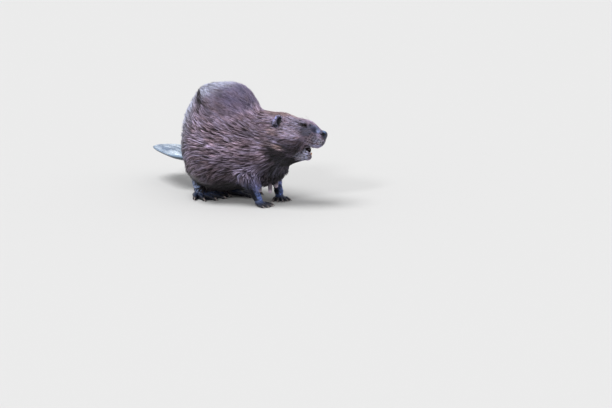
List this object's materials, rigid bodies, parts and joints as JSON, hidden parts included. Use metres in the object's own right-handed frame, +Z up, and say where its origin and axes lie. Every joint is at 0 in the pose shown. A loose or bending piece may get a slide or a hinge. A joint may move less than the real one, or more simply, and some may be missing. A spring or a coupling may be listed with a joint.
{
  "type": "beaver",
  "caption": "Life-size beaver standing hunched on four feet: high rounded back, blunt head turned left with parted jaws, small ears, webbed hind feet and a flat scaly paddle tail.",
  "frame": {"origin": "on the floor, under the middle of the animal's box, tail included", "axes": "+X ahead, the way the trunk faces; +Y to the animal's own left; +Z up"},
  "size_m": [0.5232, 0.2982, 0.291],
  "materials": {
    "coat": "wet brown guard hairs lying in pointed clumps, with violet-grey glints, paler cheeks and a dark belly",
    "skin": "bare, creased blue-black skin of the nose, ears and feet, with a damp sheen",
    "scales": "wet blue-grey hide of flat overlapping scales",
    "claw": "dark horn with a soft polish, paler at the tips",
    "eye": "near-black, wet and glossy",
    "tooth": "orange enamel, paler at the edge",
    "teat": "soft bare pink-grey skin"
  },
  "bodies": {
    "root": {"claw_fore_l_1": "claw", "claw_fore_l_2": "claw", "claw_fore_l_3": "claw", "claw_fore_l_4": "claw", "claw_fore_l_5": "claw", "claw_fore_r_1": "claw", "claw_fore_r_2": "claw", "claw_fore_r_3": "claw", "claw_fore_r_4": "claw", "claw_fore_r_5": "claw", "claw_hind_l_1": "claw", "claw_hind_l_2": "claw", "claw_hind_l_3": "claw", "claw_hind_l_4": "claw", "claw_hind_l_5": "claw", "claw_hind_r_1": "claw", "claw_hind_r_2": "claw", "claw_hind_r_3": "claw", "claw_hind_r_4": "claw", "claw_hind_r_5": "claw", "ear_l": "skin", "ear_r": "skin", "eye_l": "eye", "eye_r": "eye", "foot_fore_l": "skin", "foot_fore_r": "skin", "foot_hind_l": "skin", "foot_hind_r": "skin", "head": "coat", "leg_fore_l": "coat", "leg_fore_r": "coat", "leg_hind_l": "coat", "leg_hind_r": "coat", "lower_jaw": "coat", "neck": "coat", "nose": "skin", "tail": "scales", "teat_l_1": "teat", "teat_l_2": "teat", "teat_r_1": "teat", "teat_r_2": "teat", "tooth_l": "tooth", "tooth_r": "tooth", "trunk": "coat"}
  },
  "joints": []
}
